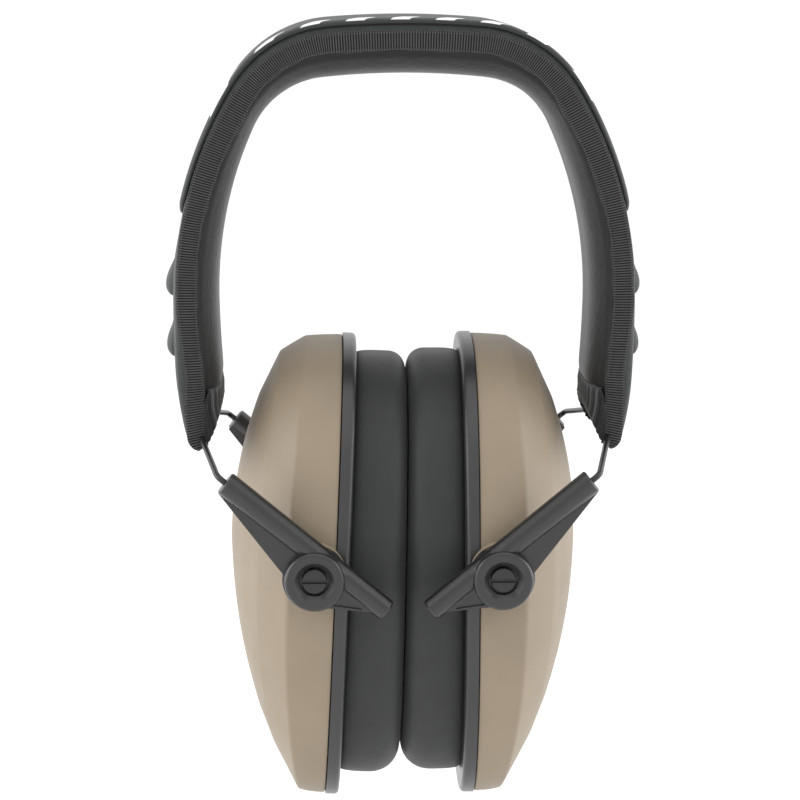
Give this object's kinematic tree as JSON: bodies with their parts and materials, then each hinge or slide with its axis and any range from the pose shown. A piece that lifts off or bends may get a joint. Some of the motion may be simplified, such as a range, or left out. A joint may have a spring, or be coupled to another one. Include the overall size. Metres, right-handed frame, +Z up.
{
  "type": "earmuff hearing protector",
  "caption": "Folding earmuff: padded arch headband with moulded crown plate, wire yokes, sliding pivot arms, slim bevelled cups and soft ear cushions.",
  "frame": {"origin": "middle of the headband's padded underside at the top of the arch, where the crown of the head bears", "axes": "+X from the left cup to the right cup as seen from the front, +Y towards the rear, +Z up; left, right, front and rear in names are the viewer's, looking along +Y"},
  "size_m": [0.1106, 0.096, 0.1872],
  "materials": {
    "spring_steel": "bare sprung strip",
    "soft_foam": "open-cell foam",
    "cover_fabric": "close plain weave, matt",
    "lining_skin": "soft coated cloth, fine grain",
    "ribbed_tape": "ribbed binding tape",
    "plate_rubber": "moulded, satin",
    "pale_ink": "pale filled marks",
    "hinge_plastic": "moulded",
    "rivet_steel": "plated",
    "coated_wire": "black coated spring wire",
    "arm_plastic": "moulded, semi-gloss",
    "tan_shell": "fine matt texture",
    "rim_plastic": "moulded, satin",
    "cushion_skin": "smooth soft skin over foam",
    "insert_fabric": "thin knit over the insert",
    "screw_plastic": "moulded slotted screw"
  },
  "bodies": {
    "headband": {"spring_band": "spring_steel", "headband_foam": "soft_foam", "outer_cover": "cover_fabric", "inner_lining": "lining_skin", "front_binding": "ribbed_tape", "rear_binding": "ribbed_tape", "crown_plate": "plate_rubber", "crown_plate_dashes": "pale_ink", "left_grip_ribs": "plate_rubber", "left_hinge_block": "hinge_plastic", "left_hinge_rivets": "rivet_steel", "left_end_gather": "ribbed_tape", "right_grip_ribs": "plate_rubber", "right_hinge_block": "hinge_plastic", "right_hinge_rivets": "rivet_steel", "right_end_gather": "ribbed_tape"},
    "left_yoke": {"left_yoke_wire": "coated_wire"},
    "left_arms": {"left_front_arm": "arm_plastic", "left_rear_arm": "arm_plastic"},
    "left_cup": {"left_cup_shell": "tan_shell", "left_rim_plate": "rim_plastic", "left_cushion_plate": "rim_plastic", "left_ear_cushion": "cushion_skin", "left_insert_cloth": "insert_fabric", "left_foam_insert": "soft_foam", "left_pivot_screws": "screw_plastic", "left_pivot_washers": "rivet_steel"},
    "right_yoke": {"right_yoke_wire": "coated_wire"},
    "right_arms": {"right_front_arm": "arm_plastic", "right_rear_arm": "arm_plastic"},
    "right_cup": {"right_cup_shell": "tan_shell", "right_rim_plate": "rim_plastic", "right_cushion_plate": "rim_plastic", "right_ear_cushion": "cushion_skin", "right_insert_cloth": "insert_fabric", "right_foam_insert": "soft_foam", "right_pivot_screws": "screw_plastic", "right_pivot_washers": "rivet_steel"}
  },
  "joints": [
    {"name": "left_yoke_swing", "type": "hinge", "parent": "headband", "child": "left_yoke", "pos_m": [-0.0473, 0, -0.0842], "axis": [0, 1, 0], "range_deg": [0, 40]},
    {"name": "left_arm_slide", "type": "slide", "parent": "left_yoke", "child": "left_arms", "axis": [0.7749, 0, -0.632], "range_m": [0, 0.02]},
    {"name": "left_cup_pivot", "type": "hinge", "parent": "left_arms", "child": "left_cup", "pos_m": [-0.02135, 0, -0.11241], "axis": [0, 1, 0], "range_deg": [-40, 0]},
    {"name": "right_yoke_swing", "type": "hinge", "parent": "headband", "child": "right_yoke", "pos_m": [0.0473, 0, -0.0842], "axis": [0, -1, 0], "range_deg": [0, 40]},
    {"name": "right_arm_slide", "type": "slide", "parent": "right_yoke", "child": "right_arms", "axis": [-0.7749, 0, -0.632], "range_m": [0, 0.02]},
    {"name": "right_cup_pivot", "type": "hinge", "parent": "right_arms", "child": "right_cup", "pos_m": [0.02135, 0, -0.11241], "axis": [0, -1, 0], "range_deg": [-40, 0]}
  ],
  "couplings": [
    {"joint": "left_arm_slide", "follows": "left_yoke_swing", "m_per_rad": 0.0286},
    {"joint": "left_cup_pivot", "follows": "left_yoke_swing", "ratio": -1},
    {"joint": "right_arm_slide", "follows": "right_yoke_swing", "m_per_rad": 0.0286},
    {"joint": "right_cup_pivot", "follows": "right_yoke_swing", "ratio": -1}
  ]
}
